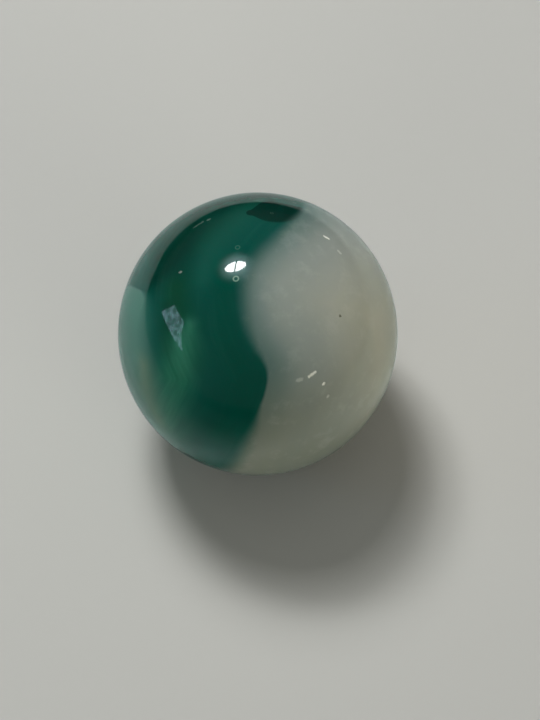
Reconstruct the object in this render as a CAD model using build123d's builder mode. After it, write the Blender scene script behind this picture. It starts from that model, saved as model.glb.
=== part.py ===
from build123d import *

import os

# A machine-made glass marble: one solid ball of fused glass, rounded while it was hot
# and so never quite true. Its white and green glasses run through each other in one
# body, so they are colours of the same solid and not pieces of their own.
#
# Millimetres, +Z up. The origin is the centre of the ball. The ball is very slightly
# long, and lies with its long axis level, along Y.

# Driving dimensions
GIRTH_DIAMETER = 15.8  # across the long axis, the same along X and Z
POLE_TO_POLE = 16.05  # along the long axis, Y

with BuildPart() as marble:
    Sphere(radius=GIRTH_DIAMETER / 2)
    scale(by=(1, POLE_TO_POLE / GIRTH_DIAMETER, 1))

marble.part.label = "marble"

os.makedirs("parts", exist_ok=True)
export_step(marble.part, "parts/marble.step")

print(f"marble: {marble.part.volume:.1f} mm3")
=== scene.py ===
import math

import bpy
import numpy as np
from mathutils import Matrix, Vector


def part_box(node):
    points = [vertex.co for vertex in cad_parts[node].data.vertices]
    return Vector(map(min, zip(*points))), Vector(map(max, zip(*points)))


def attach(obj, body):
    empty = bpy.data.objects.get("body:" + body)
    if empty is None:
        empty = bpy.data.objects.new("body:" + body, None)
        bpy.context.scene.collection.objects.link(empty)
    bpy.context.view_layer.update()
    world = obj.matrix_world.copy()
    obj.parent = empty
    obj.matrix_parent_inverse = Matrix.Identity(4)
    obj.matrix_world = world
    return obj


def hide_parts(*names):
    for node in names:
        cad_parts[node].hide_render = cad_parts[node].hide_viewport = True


# A glass marble: one ball of white glass with a green swirl folded into its side.
# The ball is blown up from a cube grid by a Geometry Nodes tree, with gentle ripples and the
# dents of its nicks. The swirl is drawn with lines laid on the ball, which are turned into
# distances on the mesh, and the glass material paints by them.
# Metres, +Z up, origin at the centre of the ball. Swirl sizes are in millimetres.

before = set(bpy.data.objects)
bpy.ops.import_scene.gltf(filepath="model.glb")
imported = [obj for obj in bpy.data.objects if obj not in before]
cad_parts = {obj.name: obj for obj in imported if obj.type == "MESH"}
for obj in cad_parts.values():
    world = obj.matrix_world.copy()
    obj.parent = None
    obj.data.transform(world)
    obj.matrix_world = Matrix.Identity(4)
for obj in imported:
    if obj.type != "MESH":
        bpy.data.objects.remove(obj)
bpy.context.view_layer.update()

MM = 0.001
low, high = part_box("marble")
INSIDE_CAD = 0.9994  # the visible ball stays a hair inside the CAD ball
RADII = (high - low) / 2 * INSIDE_CAD
MEAN_RADIUS_MM = sum(RADII) / 3 / MM
FLOOR_LEVEL = low.z

# ---------------------------------------------------------------- the ball
CELLS_PER_EDGE = 127
WORN_SIDE = (0.42, -0.62, 0.66)  # where the nicks are, so where the grid is finest
GRID_GATHER = 1.9  # how many times finer the grid is there
RIPPLE_DEPTH = 0.020 * MM
RIPPLES_ACROSS = 1.7  # ripples per radius
RIPPLE_DETAIL = 0.5
RIPPLE_ROUGHNESS = 0.40
RIPPLE_SEED = 5.0

# Nicks and scratches: centre on the ball, the way it runs, length, width, dent depth (mm), paleness
NICKS = (
    ((0.375, -0.668, 0.638), (0.85, 0.16, 0.45), 0.42, 0.155, 0.020, 0.72),
    ((0.29, -0.71, 0.638), (0.75, 0.05, 0.10), 0.22, 0.20, 0.010, 0.24),
    ((0.452, -0.690, 0.548), (0.80, 0.30, 0.55), 0.08, 0.14, 0.030, 1.00),
    ((0.485, -0.74, 0.458), (0.60, 0.30, 0.70), 0.10, 0.13, 0.012, 0.35),
    ((0.48, 0.30, 0.825), (0.90, -0.35, -0.20), 0.26, 0.14, 0.012, 0.90),
    ((0.57, 0.20, 0.80), (0.40, -0.60, -0.40), 0.16, 0.15, 0.010, 0.35),
    ((-0.34, 0.44, 0.83), (0.90, 0.10, 0.20), 0.08, 0.17, 0.010, 0.16),
    ((-0.41, 0.41, 0.81), (0.80, 0.50, 0.15), 0.60, 0.14, 0.008, 0.09),
    ((-0.53, 0.01, 0.845), (0.80, 0.10, 0.50), 0.05, 0.14, 0.008, 0.28),
)
NICK_FADE = (0.75, 0.25)  # from outside to inside a nick, in widths from its middle line

DARK_SPECK = (0.57, -0.29, 0.77)
SPECK_FADE = (0.12, 0.04)  # from its outside to its inside, mm from its middle
# Bubbles just under the skin, seen as small rings: centre, radius (mm), paleness. Their pale rims are
# painted glints, the light the rims catch.
BUBBLES = (
    ((-0.145, -0.120, 0.98), 0.14, 0.55),
    ((-0.135, 0.125, 0.98), 0.12, 0.16),
    ((0.10, 0.46, 0.88), 0.08, 0.10),
    ((0.26, 0.65, 0.72), 0.08, 0.12),
)
RIM_INSIDE = (0.55, 0.95)  # where a bubble's rim comes up and goes down again, in radii
RIM_OUTSIDE = (1.45, 1.05)

# ---------------------------------------------------------------- the swirl
# Outline of the green glass, as places on the ball (x, y, z) and how soft its edge is there, mm
GREEN_OUTLINE = (
    (-0.48, -0.82, -0.38, 0.80),
    (-0.27, -0.90, -0.30, 0.75),
    (-0.17, -0.97, -0.02, 0.70),
    (-0.11, -0.97, 0.20, 0.70),
    (-0.04, -0.93, 0.37, 0.45),
    (0.01, -0.86, 0.51, 0.18),
    (0.05, -0.78, 0.62, 0.10),
    (0.06, -0.70, 0.71, 0.14),
    (0.03, -0.64, 0.77, 0.22),
    (-0.03, -0.57, 0.82, 0.40),
    (-0.09, -0.45, 0.88, 0.50),
    (-0.125, -0.30, 0.95, 0.60),
    (-0.105, -0.05, 0.995, 0.70),
    (0.095, 0.23, 0.97, 0.60),
    (0.24, 0.44, 0.86, 0.38),
    (0.30, 0.57, 0.76, 0.25),
    (0.34, 0.73, 0.58, 0.25),
    (0.38, 0.90, 0.20, 0.30),
    (0.24, 0.92, -0.30, 0.45),
    (-0.15, 0.80, -0.60, 0.60),
    (-0.60, 0.45, -0.66, 0.50),
    (-0.90, 0.22, -0.38, 0.40),
    (-0.98, 0.20, 0.05, 0.20),
    (-0.93, 0.22, 0.29, 0.14),
    (-0.86, 0.10, 0.49, 0.10),
    (-0.80, 0.00, 0.61, 0.14),
    (-0.74, -0.10, 0.66, 0.80),
    (-0.71, -0.30, 0.62, 1.30),
    (-0.67, -0.55, 0.47, 1.50),
    (-0.66, -0.69, 0.25, 1.30),
    (-0.58, -0.80, 0.02, 1.10),
)
# The stretch of that outline that the streaks run along
RIGHT_EDGE = GREEN_OUTLINE[1:19]

# Strokes of other glass in the green and beside it: places and half-width (mm) at each
MILK_STREAK = (
    (-0.46, -0.38, 0.80, 0.45),
    (-0.50, -0.50, 0.71, 1.00),
    (-0.57, -0.62, 0.54, 1.35),
    (-0.63, -0.70, 0.34, 1.50),
    (-0.66, -0.74, 0.10, 1.40),
)
HAZE = (
    (0.02, 0.62, 0.78, 0.5),
    (-0.10, 0.45, 0.89, 0.9),
    (-0.22, 0.28, 0.93, 1.0),
    (-0.32, 0.10, 0.94, 0.9),
    (-0.37, -0.08, 0.92, 0.6),
)
OLIVE = (
    (-0.78, -0.48, 0.40, 0.7),
    (-0.76, -0.55, 0.33, 0.9),
    (-0.74, -0.62, 0.25, 1.1),
    (-0.68, -0.72, 0.08, 0.8),
)
DARK_UPPER = (
    (-0.70, 0.06, 0.71, 1.0),
    (-0.61, 0.18, 0.77, 2.0),
    (-0.50, 0.36, 0.80, 2.4),
    (-0.30, 0.56, 0.77, 2.3),
    (-0.05, 0.69, 0.72, 1.6),
    (0.12, 0.76, 0.64, 1.3),
)
DARK_LOBE = (
    (-0.22, -0.02, 0.98, 0.7),
    (-0.24, -0.23, 0.94, 0.9),
    (-0.22, -0.44, 0.87, 1.0),
    (-0.14, -0.62, 0.77, 1.4),
    (-0.08, -0.74, 0.67, 1.7),
    (-0.10, -0.82, 0.56, 1.7),
    (-0.16, -0.88, 0.43, 1.6),
    (-0.22, -0.92, 0.30, 1.3),
)
DARK_LENS = (
    (-0.04, 0.46, 0.88, 0.30),
    (0.04, 0.475, 0.88, 0.95),
    (0.12, 0.495, 0.86, 1.15),
    (0.21, 0.52, 0.83, 0.95),
    (0.30, 0.56, 0.77, 0.30),
)
MOSS = (
    (-0.56, -0.10, 0.82, 1.0),
    (-0.55, -0.35, 0.76, 1.2),
    (-0.54, -0.50, 0.68, 1.3),
    (-0.56, -0.60, 0.56, 1.0),
)
STROKES = {
    "milk": MILK_STREAK,
    "dark_upper": DARK_UPPER,
    "dark_lobe": DARK_LOBE,
    "dark_lens": DARK_LENS,
    "moss": MOSS,
    "haze": HAZE,
    "olive": OLIVE,
}


# ---------------------------------------------------------------- node helpers
def feed(tree, socket, value):
    """Links a value to a socket if it comes from a node, and sets it there if it is plain."""
    if isinstance(value, bpy.types.NodeSocket):
        tree.links.new(value, socket)
    else:
        socket.default_value = value


def put(tree, kind, inputs=None, **settings):
    """Adds a node, gives it its settings, and sets or links its inputs."""
    node = tree.nodes.new(kind)
    for name, value in settings.items():
        setattr(node, name, value)
    for name, value in (inputs or {}).items():
        feed(tree, node.inputs[name], value)
    return node


def maths(tree, operation, *values):
    return put(tree, "ShaderNodeMath", dict(enumerate(values)), operation=operation).outputs[0]


def times(tree, first, second):
    return maths(tree, "MULTIPLY", first, second)


def vector(tree, operation, *values, out="Vector"):
    node = put(tree, "ShaderNodeVectorMath", dict(enumerate(values)), operation=operation)
    return node.outputs[out]


def scaled(tree, value, factor):
    node = put(tree, "ShaderNodeVectorMath", {0: value, "Scale": factor}, operation="SCALE")
    return node.outputs["Vector"]


def ramp(tree, value, start, end, low_value=0.0, high_value=1.0):
    """A smooth step from one value to another as the input goes from start to end."""
    node = put(
        tree,
        "ShaderNodeMapRange",
        {"Value": value, "From Min": start, "From Max": end, "To Min": low_value, "To Max": high_value},
        interpolation_type="SMOOTHSTEP",
    )
    return node.outputs["Result"]


def blend(tree, amount, first, second):
    """Mixes two colours."""
    node = put(tree, "ShaderNodeMix", data_type="RGBA")
    for socket, value in ((0, amount), (6, first), (7, second)):
        feed(tree, node.inputs[socket], value)
    return node.outputs[2]


def noise(tree, place, scale, detail, roughness=0.5, out=0):
    inputs = {"Vector": place, "Scale": scale, "Detail": detail, "Roughness": roughness}
    return put(tree, "ShaderNodeTexNoise", inputs).outputs[out]


def colour(red, green, blue):
    return (red, green, blue, 1.0)


def new_group(name, kind, inputs, outputs):
    """Makes a node group with named inputs (with their values) and outputs."""
    group = bpy.data.node_groups.new(name, kind)
    for label, socket_kind, value in inputs:
        socket = group.interface.new_socket(label, in_out="INPUT", socket_type=socket_kind)
        if value is not None:
            socket.default_value = value
    for label, socket_kind in outputs:
        group.interface.new_socket(label, in_out="OUTPUT", socket_type=socket_kind)
    source = group.nodes.new("NodeGroupInput")
    sink = group.nodes.new("NodeGroupOutput")
    return group, source.outputs, sink.inputs


def nick_group(kind):
    """How deep inside a nick a place is: 1 along its middle line, 0 outside it."""
    group, given, result = new_group(
        "nick " + kind,
        kind,
        (
            ("Place", "NodeSocketVector", None),
            ("Centre", "NodeSocketVector", None),
            ("Along", "NodeSocketVector", (1, 0, 0)),
            ("Length", "NodeSocketFloat", 0.4),
            ("Width", "NodeSocketFloat", 0.2),
        ),
        (("Amount", "NodeSocketFloat"),),
    )
    offset = vector(group, "SUBTRACT", given["Place"], given["Centre"])
    along = vector(group, "DOT_PRODUCT", offset, given["Along"], out="Value")
    half_length = times(group, given["Length"], 0.5)
    past_end = maths(group, "SUBTRACT", maths(group, "ABSOLUTE", along), half_length)
    beyond = maths(group, "MAXIMUM", past_end, 0.0)
    whole = vector(group, "DOT_PRODUCT", offset, offset, out="Value")
    across = maths(group, "SUBTRACT", whole, times(group, along, along))
    away_squared = maths(group, "ADD", across, times(group, beyond, beyond))
    away = maths(group, "SQRT", maths(group, "MAXIMUM", away_squared, 0.0))
    share = maths(group, "DIVIDE", away, given["Width"])
    group.links.new(ramp(group, share, *NICK_FADE), result["Amount"])
    return group


# ---------------------------------------------------------------- places on the ball
def on_ball_mm(place):
    """A place on the ball, in millimetres, from its direction."""
    way = Vector(place).normalized()
    return Vector((way.x * RADII.x, way.y * RADII.y, way.z * RADII.z)) / MM


def along_ball(place, way):
    """The way a nick runs, laid flat on the ball at its place."""
    out = Vector(place).normalized()
    way = Vector(way)
    return (way - out * way.dot(out)).normalized()


def nick_amount(tree, kind, nick, place, centre, run, length, width):
    """How deep inside one nick a place is, by a group node of the kind the tree takes."""
    inputs = {
        "Place": place,
        "Centre": on_ball_mm(centre),
        "Along": along_ball(centre, run),
        "Length": length,
        "Width": width,
    }
    return put(tree, kind, inputs, node_tree=nick).outputs[0]


# ---------------------------------------------------------------- the ball's mesh
def ball_tree():
    """Geometry Nodes: a cube grid blown up into the ball, rippled and dented."""
    tree, given, result = new_group(
        "marble ball",
        "GeometryNodeTree",
        (
            ("Girth radius", "NodeSocketFloat", RADII.x),
            ("Pole radius", "NodeSocketFloat", RADII.y),
            ("Grid points", "NodeSocketInt", CELLS_PER_EDGE + 1),
            ("Worn side", "NodeSocketVector", WORN_SIDE),
            ("Grid gather", "NodeSocketFloat", GRID_GATHER),
            ("Ripple depth", "NodeSocketFloat", RIPPLE_DEPTH),
            ("Ripples across", "NodeSocketFloat", RIPPLES_ACROSS),
            ("Ripple seed", "NodeSocketFloat", RIPPLE_SEED),
            ("Glass", "NodeSocketMaterial", None),
        ),
        (("Ball", "NodeSocketGeometry"),),
    )
    points = given["Grid points"]
    cube = put(
        tree,
        "GeometryNodeMeshCube",
        {"Size": (2, 2, 2), "Vertices X": points, "Vertices Y": points, "Vertices Z": points},
    )
    # Even cells: each cube face is opened by the tangent before it is made round
    place = put(tree, "GeometryNodeInputPosition").outputs[0]
    parts = put(tree, "ShaderNodeSeparateXYZ", {0: place})
    opened = put(tree, "ShaderNodeCombineXYZ")
    for axis in range(3):
        turn = times(tree, parts.outputs[axis], math.pi / 4)
        tree.links.new(maths(tree, "TANGENT", turn), opened.inputs[axis])
    round_way = vector(tree, "NORMALIZE", opened.outputs[0])
    # Cells drawn towards the worn side, as in a stereographic map that is enlarged there
    side = vector(tree, "NORMALIZE", given["Worn side"])
    facing = vector(tree, "DOT_PRODUCT", round_way, side, out="Value")
    sideways = vector(tree, "SUBTRACT", round_way, scaled(tree, side, facing))
    gather = given["Grid gather"]
    near = times(tree, times(tree, maths(tree, "ADD", 1.0, facing), gather), gather)
    far = maths(tree, "SUBTRACT", 1.0, facing)
    whole = maths(tree, "ADD", near, far)
    spread = maths(tree, "DIVIDE", times(tree, gather, 2.0), whole)
    reach = maths(tree, "DIVIDE", maths(tree, "SUBTRACT", near, far), whole)
    way = vector(tree, "ADD", scaled(tree, sideways, spread), scaled(tree, side, reach))
    # Ripples and dents only ever go inwards
    ripples = put(
        tree,
        "ShaderNodeTexNoise",
        {
            "Vector": way,
            "W": given["Ripple seed"],
            "Scale": given["Ripples across"],
            "Detail": RIPPLE_DETAIL,
            "Roughness": RIPPLE_ROUGHNESS,
        },
        noise_dimensions="4D",
    )
    sunk = times(tree, ripples.outputs[0], given["Ripple depth"])
    radii = put(
        tree,
        "ShaderNodeCombineXYZ",
        {0: given["Girth radius"], 1: given["Pole radius"], 2: given["Girth radius"]},
    )
    skin = vector(tree, "MULTIPLY", way, radii.outputs[0])
    skin_mm = scaled(tree, skin, 1 / MM)
    dent = nick_group("GeometryNodeTree")
    for centre, run, length, width, depth, _paleness in NICKS:
        amount = nick_amount(tree, "GeometryNodeGroup", dent, skin_mm, centre, run, length, width)
        sunk = maths(tree, "ADD", sunk, times(tree, amount, depth * MM))
    finished = vector(tree, "SUBTRACT", skin, scaled(tree, way, sunk))
    moved = put(tree, "GeometryNodeSetPosition", {"Geometry": cube.outputs["Mesh"], "Position": finished})
    smooth = put(tree, "GeometryNodeSetShadeSmooth", {"Geometry": moved.outputs[0], "Shade Smooth": True})
    made = put(tree, "GeometryNodeRealizeInstances", {"Geometry": smooth.outputs[0]})
    dressed = put(tree, "GeometryNodeSetMaterial", {"Geometry": made.outputs[0], "Material": given["Glass"]})
    tree.links.new(dressed.outputs[0], result["Ball"])
    return tree


def make_ball(name, glass):
    """Runs the tree once and keeps its result as a plain mesh."""
    holder = bpy.data.objects.new(name + "_grid", bpy.data.meshes.new(name + "_grid"))
    bpy.context.scene.collection.objects.link(holder)
    grow = holder.modifiers.new("ball", "NODES")
    grow.node_group = ball_tree()
    for socket in grow.node_group.interface.items_tree:
        if socket.name == "Glass":
            grow[socket.identifier] = glass
    ready = holder.evaluated_get(bpy.context.evaluated_depsgraph_get())
    mesh = bpy.data.meshes.new_from_object(ready)
    mesh.name = name
    holder.modifiers.remove(grow)
    bpy.data.objects.remove(holder)
    ball = bpy.data.objects.new(name, mesh)
    bpy.context.scene.collection.objects.link(ball)
    return ball


# ---------------------------------------------------------------- lines on the ball
STEPS_BETWEEN_POINTS = 8
WAYS_AT_ONCE = 4000


def glass_line(points, closed=False):
    """A smooth line over the ball through the points, with their last value carried along."""
    given = np.array(points, float)
    given[:, :3] /= np.linalg.norm(given[:, :3], axis=1)[:, None]
    count = len(given)
    spans = count if closed else count - 1
    line = []
    for span in range(spans):
        picks = [span + step for step in (-1, 0, 1, 2)]
        if closed:
            picks = [pick % count for pick in picks]
        else:
            picks = [min(max(pick, 0), count - 1) for pick in picks]
        before, start, end, after = given[picks]
        for step in range(STEPS_BETWEEN_POINTS):
            t = step / STEPS_BETWEEN_POINTS
            line.append(
                0.5
                * (
                    2 * start
                    + (end - before) * t
                    + (2 * before - 5 * start + 4 * end - after) * t**2
                    + (3 * start - before - 3 * end + after) * t**3
                )
            )
    line.append(given[0] if closed else given[-1])
    line = np.array(line)
    line[:, :3] /= np.linalg.norm(line[:, :3], axis=1)[:, None]
    return line


def nearest(ways, line):
    """For each direction: how far the line is (mm over the ball), the value carried there,
    and whether the direction lies on the line's left."""
    start = line[:-1, :3]
    step = line[1:, :3] - start
    length_squared = (step**2).sum(1)
    left = np.cross(start, step)
    left /= np.linalg.norm(left, axis=1)[:, None]
    joint_left = np.vstack([left, left[-1:]])
    joint_left[1:-1] += left[:-1]
    if np.allclose(line[0, :3], line[-1, :3]):
        joint_left[0] += left[-1]
        joint_left[-1] += left[0]
    joint_left /= np.linalg.norm(joint_left, axis=1)[:, None]
    away = np.empty(len(ways))
    carried = np.empty(len(ways))
    on_left = np.empty(len(ways), bool)
    for first in range(0, len(ways), WAYS_AT_ONCE):
        chunk = slice(first, first + WAYS_AT_ONCE)
        some = ways[chunk]
        share = np.clip((some @ step.T - (start * step).sum(1)) / length_squared, 0, 1)
        foot = start[None] + share[..., None] * step[None]
        gap = np.linalg.norm(some[:, None] - foot, axis=2)
        best = gap.argmin(1)
        row = np.arange(len(some))
        part = share[row, best]
        away[chunk] = 2 * np.arcsin(np.clip(gap[row, best] / 2, 0, 1)) * MEAN_RADIUS_MM
        carried[chunk] = line[best, 3] * (1 - part) + line[best + 1, 3] * part
        side = joint_left[best] * (1 - part[:, None]) + joint_left[best + 1] * part[:, None]
        on_left[chunk] = (side * some).sum(1) > 0
    return away, carried, on_left


def stroke(ways, points):
    """A soft stroke of glass along the points, as wide as they say."""
    away, half_width, _on_left = nearest(ways, glass_line(points))
    return np.exp(-((away / half_width) ** 2))


def lay_swirl(ball):
    """Stores on the mesh how each vertex lies to the swirl's lines."""
    mesh = ball.data
    places = np.empty(len(mesh.vertices) * 3)
    mesh.vertices.foreach_get("co", places)
    ways = places.reshape(-1, 3) / np.array(RADII)
    ways /= np.linalg.norm(ways, axis=1)[:, None]
    outline = glass_line(GREEN_OUTLINE, closed=True)
    away, softness, inside = nearest(ways, outline)
    flow, _softness, _on_left = nearest(ways, glass_line(RIGHT_EDGE))
    layers = {"green_edge": np.where(inside, away, -away), "green_softness": softness, "flow": flow}
    for name, points in STROKES.items():
        layers[name] = stroke(ways, points)
    for name, values in layers.items():
        layer = mesh.attributes.new(name, "FLOAT", "POINT")
        layer.data.foreach_set("value", values.astype(np.float32))


# ---------------------------------------------------------------- the glass
WHITE_COOL = colour(0.14, 0.213, 0.198)  # white glass beside the green
WHITE_PLAIN = colour(0.355, 0.385, 0.355)
WHITE_WARM = colour(0.535, 0.525, 0.425)
# Painted shade: this darker, warmer white darkens the glass towards the underside, the side turned from the
# lamp
WHITE_SHADED_LOW = colour(0.252, 0.272, 0.224)  # towards the underside
GREEN_TEAL = colour(0.005, 0.104, 0.084)
GREEN_DEEP = colour(0.001, 0.045, 0.031)
GREEN_LOBE = colour(0.001, 0.098, 0.070)
GREEN_LENS = colour(0.001, 0.036, 0.027)
GREEN_MOSS = colour(0.006, 0.086, 0.045)
GREEN_MILK = colour(0.055, 0.235, 0.160)
MILKY_SIDE = colour(0.080, 0.220, 0.178)
MILKY_OLIVE = colour(0.160, 0.265, 0.190)
NICK_WHITE = colour(0.950, 0.950, 0.880)
SPECK_DARK = colour(0.150, 0.155, 0.120)
# Painted glint: the pale colour of the bubbles' rims
BUBBLE_RIM_GLINT = colour(0.400, 0.620, 0.480)
SPREAD = 0.45  # how far the green bleeds outwards where its edge is soft

# Where one white gives way to the next: mm from the green's edge, and mm towards a side
COOL_TO_PLAIN = (0.0, 2.6)
PLAIN_TO_WARM = (2.0, 8.5)
# Painted shade: the white darkens towards the underside this way, over this range (mm)
LOW_WAY = (0.0, -0.89, -0.45)
LOW_RANGE = (1.0, 7.5)
LEFT_WAY = (-1.0, 0.0, 0.0)
LEFT_RANGE = (3.0, 5.0)

# Drawn streaks: streaks per mm across the flow, drift per mm along it, seed
BROAD_STREAKS = (0.45, 0.10, 3.0)
FINE_STREAKS = (2.2, 0.22, 11.0)
STREAK_DETAIL = 3.0
STREAK_ROUGHNESS = 0.55

# Where each streak or stroke comes up out of its noise or layer, and how strong it gets
CLOUD_RANGE, CLOUD_STRENGTH = (0.35, 0.70), 0.12
MOTTLE_RANGE, MOTTLE_STRENGTH = (0.50, 0.72), 0.065
STIR_RANGE, STIR_STRENGTH = (0.30, 0.72), 0.30
WISP_RANGE, WISP_STRENGTH = (0.45, 0.75), 0.09
MILK_RANGE, MILK_STRENGTHS = (0.20, 0.75), (0.45, 1.0)
LENS_RANGE, LENS_STRENGTH = (0.30, 0.42), 0.90
HAZE_STRENGTH = 0.15
LOBE_STRENGTH = 0.85
UPPER_STRENGTH = 0.92

# Textures: scale per mm and detail
MOTTLE = (0.9, 5.0, 0.65)  # and roughness
WAVER = (0.55, 3.0)
WAVER_DEPTH = 0.175  # mm that the green's edge wavers by
RAGGED = (7.0, 2.0)
RAGGED_DEPTH = 0.12  # mm that the outlines of the nicks are shaken by
SMEAR = (0.35, 4.0)
SMEAR_RANGE = (0.35, 0.75)
SMEAR_ROUGHNESS = (0.035, 0.06)  # of clean glass and of smeared glass
NICK_ROUGHNESS = 0.3
GRAIN = (3.0, 2.0)
GRAIN_STRENGTH = 0.005
GRAIN_DEPTH = 0.02 * MM
GLASS_SKIN = {
    "IOR": 1.5,
    "Subsurface Weight": 1.0,
    "Subsurface Radius": (1.0, 1.0, 0.9),
    "Subsurface Scale": 8.0 * MM,
    "Subsurface Anisotropy": 0.7,
}


def flow_group():
    """Drawn-out streaks: noise that changes quickly across the flow and slowly along it."""
    group, given, result = new_group(
        "drawn glass",
        "ShaderNodeTree",
        (
            ("Place", "NodeSocketVector", None),
            ("Flow", "NodeSocketFloat", 0.0),
            ("Streaks per mm", "NodeSocketFloat", 1.0),
            ("Drift per mm", "NodeSocketFloat", 0.15),
            ("Seed", "NodeSocketFloat", 0.0),
        ),
        (("Streaks", "NodeSocketFloat"),),
    )
    across = times(group, given["Flow"], given["Streaks per mm"])
    streaks = put(
        group,
        "ShaderNodeTexNoise",
        {
            "Vector": scaled(group, given["Place"], given["Drift per mm"]),
            "W": maths(group, "ADD", across, given["Seed"]),
            "Scale": 1.0,
            "Detail": STREAK_DETAIL,
            "Roughness": STREAK_ROUGHNESS,
        },
        noise_dimensions="4D",
    )
    group.links.new(streaks.outputs[0], result["Streaks"])
    return group


def layer(tree, name):
    """One of the layers that lay_swirl stores on the mesh."""
    return put(tree, "ShaderNodeAttribute", attribute_name=name).outputs["Fac"]


def drawn(tree, streaks, place, per_mm, drift, seed):
    """Streaks along the flow of the glass."""
    inputs = {
        "Place": place,
        "Flow": layer(tree, "flow"),
        "Streaks per mm": per_mm,
        "Drift per mm": drift,
        "Seed": seed,
    }
    return put(tree, "ShaderNodeGroup", inputs, node_tree=streaks).outputs[0]


def white_glass(tree, place, edge, broad):
    """White glass: cooler beside the green, warmer away from it, darker towards the underside as painted
    shade, faintly clouded and mottled.
    """
    outside = times(tree, edge, -1.0)
    white = blend(tree, ramp(tree, outside, *COOL_TO_PLAIN), WHITE_COOL, WHITE_PLAIN)
    white = blend(tree, ramp(tree, outside, *PLAIN_TO_WARM), white, WHITE_WARM)
    # Painted shade: darker and warmer towards the underside
    lowness = vector(tree, "DOT_PRODUCT", place, LOW_WAY, out="Value")
    white = blend(tree, ramp(tree, lowness, *LOW_RANGE), white, WHITE_SHADED_LOW)
    cloud = times(tree, ramp(tree, broad, *CLOUD_RANGE), CLOUD_STRENGTH)
    white = blend(tree, cloud, white, WHITE_COOL)
    mottled = noise(tree, place, *MOTTLE)
    pale = times(tree, ramp(tree, mottled, *MOTTLE_RANGE), MOTTLE_STRENGTH)
    return blend(tree, pale, white, NICK_WHITE)


def green_glass(tree, broad, fine):
    """Green glass: a teal body with darker and milkier strokes."""
    body = blend(tree, layer(tree, "moss"), GREEN_TEAL, GREEN_MOSS)
    stirred = times(tree, ramp(tree, broad, *STIR_RANGE), STIR_STRENGTH)
    body = blend(tree, stirred, body, GREEN_LOBE)
    body = blend(tree, times(tree, layer(tree, "dark_lobe"), LOBE_STRENGTH), body, GREEN_LOBE)
    body = blend(tree, times(tree, layer(tree, "dark_upper"), UPPER_STRENGTH), body, GREEN_DEEP)
    milk = times(tree, layer(tree, "milk"), ramp(tree, fine, *MILK_RANGE, *MILK_STRENGTHS))
    haze = times(tree, layer(tree, "haze"), HAZE_STRENGTH)
    wisps = times(tree, ramp(tree, fine, *WISP_RANGE), WISP_STRENGTH)
    pale = maths(tree, "MAXIMUM", maths(tree, "MAXIMUM", milk, haze), wisps)
    body = blend(tree, pale, body, GREEN_MILK)
    lens = ramp(tree, layer(tree, "dark_lens"), *LENS_RANGE)
    return blend(tree, times(tree, lens, LENS_STRENGTH), body, GREEN_LENS)


def mark_glass(tree, place, glass):
    """Paints the nicks, the dark speck and the bubbles, whose pale rims are painted glints, and gives how
    worn each place is.
    """
    nick = nick_group("ShaderNodeTree")
    shift = vector(tree, "SUBTRACT", noise(tree, place, *RAGGED, out="Color"), (0.5, 0.5, 0.5))
    shaken = vector(tree, "ADD", place, scaled(tree, shift, RAGGED_DEPTH))
    worn = 0.0
    for centre, run, length, width, _depth, paleness in NICKS:
        amount = nick_amount(tree, "ShaderNodeGroup", nick, shaken, centre, run, length, width)
        worn = maths(tree, "MAXIMUM", worn, times(tree, amount, paleness))
    glass = blend(tree, worn, glass, NICK_WHITE)
    away = vector(tree, "DISTANCE", shaken, on_ball_mm(DARK_SPECK), out="Value")
    glass = blend(tree, ramp(tree, away, *SPECK_FADE), glass, SPECK_DARK)
    # Painted glints: a pale ring at each bubble's rim, for the light it catches
    for centre, radius, paleness in BUBBLES:
        away = vector(tree, "DISTANCE", place, on_ball_mm(centre), out="Value")
        inner = ramp(tree, away, *(share * radius for share in RIM_INSIDE))
        outer = ramp(tree, away, *(share * radius for share in RIM_OUTSIDE))
        rim = times(tree, times(tree, inner, outer), paleness)
        glass = blend(tree, rim, glass, BUBBLE_RIM_GLINT)
    return glass, worn


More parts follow.
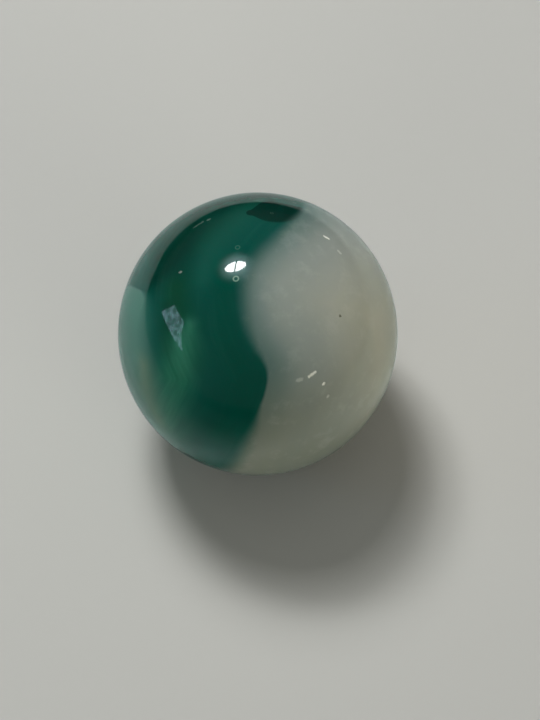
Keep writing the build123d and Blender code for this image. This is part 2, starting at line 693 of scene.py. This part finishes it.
def swirl_glass():
    """White glass with the green swirl, its streaks, its nicks and its fine skin."""
    material = bpy.data.materials.new("swirl_glass")
    material.use_nodes = True
    tree = material.node_tree
    shader = tree.nodes["Principled BSDF"]
    place = scaled(tree, put(tree, "ShaderNodeTexCoord").outputs["Object"], 1 / MM)
    edge = layer(tree, "green_edge")
    streaks = flow_group()
    broad = drawn(tree, streaks, place, *BROAD_STREAKS)
    fine = drawn(tree, streaks, place, *FINE_STREAKS)

    # The milky side, left of the green: white glass under a thin green skin
    leftness = vector(tree, "DOT_PRODUCT", place, LEFT_WAY, out="Value")
    milky = blend(tree, layer(tree, "olive"), MILKY_SIDE, MILKY_OLIVE)
    white = white_glass(tree, place, edge, broad)
    backing = blend(tree, ramp(tree, leftness, *LEFT_RANGE), white, milky)

    # The green over it, with a wavering edge that is soft or sharp by place
    waver = maths(tree, "SUBTRACT", noise(tree, place, *WAVER), 0.5)
    wavering = maths(tree, "ADD", edge, times(tree, waver, WAVER_DEPTH))
    inside = maths(tree, "DIVIDE", wavering, layer(tree, "green_softness"))
    green = ramp(tree, inside, -1.0 - SPREAD, 1.0 - SPREAD)
    glass = blend(tree, green, backing, green_glass(tree, broad, fine))
    glass, worn = mark_glass(tree, place, glass)
    tree.links.new(glass, shader.inputs["Base Color"])

    # Gloss: nearly clean, a little duller in the nicks and in faint smears
    clean = ramp(tree, noise(tree, place, *SMEAR), *SMEAR_RANGE, *SMEAR_ROUGHNESS)
    roughness = maths(tree, "ADD", clean, times(tree, worn, NICK_ROUGHNESS))
    tree.links.new(roughness, shader.inputs["Roughness"])
    grain = {"Height": noise(tree, place, *GRAIN), "Strength": GRAIN_STRENGTH, "Distance": GRAIN_DEPTH}
    tree.links.new(put(tree, "ShaderNodeBump", grain).outputs[0], shader.inputs["Normal"])
    for name, value in GLASS_SKIN.items():
        shader.inputs[name].default_value = value
    return material


# ---------------------------------------------------------------- floor, light and camera
BALL_CENTRE = Vector((0, 0, 0))
DULL_ROUGHNESS = 0.9
DULL_SHEEN = 0.1

FLOOR_COLOUR = colour(0.575, 0.575, 0.545)
FLOOR_REACH = 3.0
FLOOR_THICKNESS = 0.004
# Painted shade: the board seen in the glass is a dimmer copy of the floor, and it fades to dark towards the
# front
MIRRORED_COLOUR = colour(0.39, 0.45, 0.43)
BOARD_SIDES = (-0.071, 0.075)
BOARD_ENDS = (-0.060, 0.057)
BOARD_THICKNESS = 0.00002
SHADE_FADE_WAY = (-0.25, -1.0, 0.0)  # the board goes from pale to dark this way
SHADE_FADE_RANGE = (0.006, 0.034)
# Painted shade: the dark of the ground under the floor, which the glass mirrors beyond the board in place of
# the dim room; the board fades to it too
PAINTED_SHADE_COLOUR = colour(0.05, 0.05, 0.05)

LAMP_WAY = Vector((-0.265, 0.455, 0.85)).normalized()
LAMP_DISTANCE = 0.30
LAMP_ROLL = math.radians(-20)
SHINE_SIZE = (0.078, 0.044)
SHINE_POWER = 0.26
BAR_WIDTH = 0.0055
BAR_HALF_LENGTH = 0.6 * SHINE_SIZE[1]
BAR_LEAN = math.radians(20)
BAR_STAND = 0.985  # the bar is a little nearer than the lamp, and the glow a little further
GLOW_STAND = 1.02
GLOW_SIDES = 32
GLOW_REACH = 0.105
GLOW_FALLOFF = 2.2
GLOW_BRIGHTNESS = 6.0
GLOW_COLOUR = colour(0.75, 0.96, 1.0)

SOFT_LAMP_WAY = Vector((-0.215, 0.445, 0.87)).normalized()
SOFT_LAMP_SIZE = 0.125
SOFT_LAMP_POWER = 0.46

PLAIN_TINT = (1.0, 1.0, 1.0)
FILL_TINT = (1.0, 0.985, 0.89)
OVERHEAD_HEIGHT = 0.50
OVERHEAD_SIZE = 0.60
OVERHEAD_POWER = 0.35

FRONT_FILLS = (  # the way to each, and its power
    ((0.66, -0.73, 0.16), 0.62),
    ((-0.45, -0.88, 0.16), 0.32),
)
FRONT_DISTANCE = 0.45
FRONT_SIZE = 0.25

WINDOW_DISTANCE = 0.30
WINDOW_CORNERS = (
    (-0.925, 0.165, 0.385),
    (-0.98, 0.18, 0.170),
    (-0.95, -0.10, 0.25),
    (-0.89, -0.37, 0.29),
    (-0.89, -0.20, 0.40),
    (-0.875, -0.09, 0.49),
)
WINDOW_COLOUR = colour(0.55, 0.80, 1.0)
WINDOW_BRIGHTNESS = 2.6
WINDOW_PATCHES = (55.0, 5.0)  # scale per metre and detail of its uneven light
PATCH_RANGE = (0.36, 0.64)
PATCH_BRIGHTNESS = (0.45 * WINDOW_BRIGHTNESS, 1.25 * WINDOW_BRIGHTNESS)

ROOM_LIGHT = colour(0.05, 0.05, 0.05)

CAMERA_HEIGHT_ANGLE = math.radians(61)
CAMERA_DISTANCE = 0.16
CAMERA_VIEW_ANGLE = math.radians(14.47)
CAMERA_SENSOR_MM = 24
CAMERA_NEAREST = 0.01
AIM_RIGHT = 0.69 * MM
AIM_DOWN = 1.47 * MM


def plain(name, tint):
    """A dull, plain finish for the floor, the board, and the dark ground under the floor, which is painted
    shade seen only in the glass.
    """
    material = bpy.data.materials.new(name)
    material.use_nodes = True
    shader = material.node_tree.nodes["Principled BSDF"]
    shader.inputs["Base Color"].default_value = tint
    shader.inputs["Roughness"].default_value = DULL_ROUGHNESS
    shader.inputs["Specular IOR Level"].default_value = DULL_SHEEN
    return material


def put_slab(name, sides, ends, bottom, top, finish):
    """A flat slab from left to right, front to back and bottom to top."""
    around = ((sides[0], ends[0]), (sides[1], ends[0]), (sides[1], ends[1]), (sides[0], ends[1]))
    corners = [(x, y, z) for z in (bottom, top) for x, y in around]
    faces = [(3, 2, 1, 0), (4, 5, 6, 7)]
    faces += [(side, (side + 1) % 4, (side + 1) % 4 + 4, side + 4) for side in range(4)]
    mesh = bpy.data.meshes.new(name)
    mesh.from_pydata(corners, [], faces)
    mesh.materials.append(finish)
    slab = bpy.data.objects.new(name, mesh)
    bpy.context.scene.collection.objects.link(slab)
    return slab


def make_floor():
    """The pale floor, and the board that stands in for it in the reflections: a dimmer copy of the floor
    that ends 6 to 8 cm away and fades to dark towards the front as painted shade, with a dark ground under
    the floor as painted shade for the dim room, so that the glass mirrors a lit table and a dark room."""
    reach = (-FLOOR_REACH, FLOOR_REACH)
    below = FLOOR_LEVEL - FLOOR_THICKNESS
    floor = put_slab("floor", reach, reach, below, FLOOR_LEVEL, plain("pale_floor", FLOOR_COLOUR))
    floor.visible_glossy = False

    mirrored = plain("mirrored_board", MIRRORED_COLOUR)
    tree = mirrored.node_tree
    place = put(tree, "ShaderNodeTexCoord").outputs["Object"]
    # Painted shade: the board darkens towards the front
    ahead = vector(tree, "DOT_PRODUCT", place, SHADE_FADE_WAY, out="Value")
    shade = blend(tree, ramp(tree, ahead, *SHADE_FADE_RANGE), MIRRORED_COLOUR, PAINTED_SHADE_COLOUR)
    tree.links.new(shade, tree.nodes["Principled BSDF"].inputs["Base Color"])
    board_top = FLOOR_LEVEL + BOARD_THICKNESS
    board = put_slab("board", BOARD_SIDES, BOARD_ENDS, FLOOR_LEVEL, board_top, mirrored)
    # Painted shade: a dark ground under the floor, seen only in the glass, standing in for the dim room
    dark = plain("ground", PAINTED_SHADE_COLOUR)
    ground = put_slab("ground", reach, reach, below - FLOOR_THICKNESS, below, dark)
    for unseen in (board, ground):
        unseen.visible_camera = False
        unseen.visible_diffuse = False
        unseen.visible_shadow = False


def put_light(name, place, power, tint=PLAIN_TINT):
    """A lamp at a place, turned towards the ball, with its sideways axis level."""
    light = bpy.data.lights.new(name, "AREA")
    light.energy = power
    light.color = tint
    lamp = bpy.data.objects.new(name, light)
    lamp.location = place
    lamp.rotation_euler = (BALL_CENTRE - place).to_track_quat("-Z", "Y").to_euler()
    bpy.context.scene.collection.objects.link(lamp)
    return lamp


def put_soft_light(name, place, size, power, tint=PLAIN_TINT, shape="SQUARE"):
    """A broad lamp that the glass doesn't mirror."""
    lamp = put_light(name, place, power, tint)
    lamp.data.shape = shape
    lamp.data.size = size
    lamp.visible_glossy = False


def put_panel(name, corners, brightness, tint):
    """A flat panel that glows, or is black at no brightness, hidden from the camera."""
    mesh = bpy.data.meshes.new(name)
    mesh.from_pydata([tuple(c) for c in corners], [], [tuple(range(len(corners)))])
    panel = bpy.data.objects.new(name, mesh)
    bpy.context.scene.collection.objects.link(panel)
    material = bpy.data.materials.new(name)
    material.use_nodes = True
    tree = material.node_tree
    shader = tree.nodes["Principled BSDF"]
    shader.inputs["Base Color"].default_value = colour(0, 0, 0)
    shader.inputs["Specular IOR Level"].default_value = 0.0
    shader.inputs["Emission Color"].default_value = tint
    shader.inputs["Emission Strength"].default_value = brightness
    mesh.materials.append(material)
    panel.visible_camera = False
    return panel


def vary_brightness(panel, make_strength):
    """Makes a panel's glow vary over it, by a function of the node tree and the place."""
    tree = panel.data.materials[0].node_tree
    place = put(tree, "ShaderNodeTexCoord").outputs["Object"]
    strength = make_strength(tree, place)
    tree.links.new(strength, tree.nodes["Principled BSDF"].inputs["Emission Strength"])


def put_lamp():
    """The lamp of the highlight, with the dark bar across it and the glow around it."""
    at = LAMP_WAY * LAMP_DISTANCE
    shine = put_light("lamp", at, SHINE_POWER)
    shine.data.shape = "ELLIPSE"
    shine.data.size, shine.data.size_y = SHINE_SIZE
    shine.rotation_euler.rotate_axis("Z", LAMP_ROLL)

    turn = shine.rotation_euler.to_matrix()
    sideways = turn @ Vector((1, 0, 0)) * BAR_WIDTH / 2
    upright = turn @ Vector((math.sin(BAR_LEAN), math.cos(BAR_LEAN), 0)) * BAR_HALF_LENGTH
    around = ((-1, -1), (1, -1), (1, 1), (-1, 1))
    bar = [at * BAR_STAND + sideways * x + upright * y for x, y in around]
    put_panel("lamp_bar", bar, 0.0, colour(0, 0, 0))

    middle = at * GLOW_STAND
    rim = []
    for step in range(GLOW_SIDES):
        angle = math.tau * step / GLOW_SIDES
        rim.append(middle + turn @ Vector((math.cos(angle), math.sin(angle), 0)) * GLOW_REACH)
    glow = put_panel("lamp_glow", rim, GLOW_BRIGHTNESS, GLOW_COLOUR)
    glow.visible_diffuse = False

    def fading(tree, place):
        away = vector(tree, "DISTANCE", place, middle, out="Value")
        share = maths(tree, "POWER", ramp(tree, away, GLOW_REACH, 0.0), GLOW_FALLOFF)
        return times(tree, share, GLOW_BRIGHTNESS)

    vary_brightness(glow, fading)


def put_window():
    """The uneven window glow at the left side of the ball."""
    corners = [Vector(corner) * WINDOW_DISTANCE for corner in WINDOW_CORNERS]
    window = put_panel("side_window", corners, WINDOW_BRIGHTNESS, WINDOW_COLOUR)

    def patchy(tree, place):
        return ramp(tree, noise(tree, place, *WINDOW_PATCHES), *PATCH_RANGE, *PATCH_BRIGHTNESS)

    vary_brightness(window, patchy)


def make_lights():
    """The lamp and its soft light, the overhead and front fills, the window and the room."""
    put_lamp()
    soft_at = SOFT_LAMP_WAY * LAMP_DISTANCE
    put_soft_light("soft_lamp", soft_at, SOFT_LAMP_SIZE, SOFT_LAMP_POWER, shape="DISK")
    above = Vector((0, 0, OVERHEAD_HEIGHT))
    put_soft_light("overhead", above, OVERHEAD_SIZE, OVERHEAD_POWER, FILL_TINT)
    for way, power in FRONT_FILLS:
        front = Vector(way).normalized() * FRONT_DISTANCE
        put_soft_light("front_fill", front, FRONT_SIZE, power, FILL_TINT)
    put_window()

    world = bpy.data.worlds.new("room")
    world.use_nodes = True
    world.node_tree.nodes["Background"].inputs["Color"].default_value = ROOM_LIGHT
    bpy.context.scene.world = world


def make_camera():
    """The camera, in front of the ball and looking down on it."""
    towards = Vector((0, -math.cos(CAMERA_HEIGHT_ANGLE), math.sin(CAMERA_HEIGHT_ANGLE)))
    up = Vector((0, math.sin(CAMERA_HEIGHT_ANGLE), math.cos(CAMERA_HEIGHT_ANGLE)))
    aim = Vector((AIM_RIGHT, 0, 0)) - up * AIM_DOWN
    data = bpy.data.cameras.new("camera")
    data.sensor_fit = "VERTICAL"
    data.sensor_height = CAMERA_SENSOR_MM
    data.lens = data.sensor_height / 2 / math.tan(CAMERA_VIEW_ANGLE / 2)
    data.clip_start = CAMERA_NEAREST
    camera = bpy.data.objects.new("camera", data)
    camera.location = aim + towards * CAMERA_DISTANCE
    camera.rotation_euler = (-towards).to_track_quat("-Z", "Y").to_euler()
    bpy.context.scene.collection.objects.link(camera)
    bpy.context.scene.camera = camera


# ---------------------------------------------------------------- all together
bpy.context.scene.view_settings.view_transform = "Standard"
make_camera()
make_lights()
make_floor()

marble = make_ball("marble_glass", swirl_glass())
lay_swirl(marble)
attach(marble, "root")
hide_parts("marble")
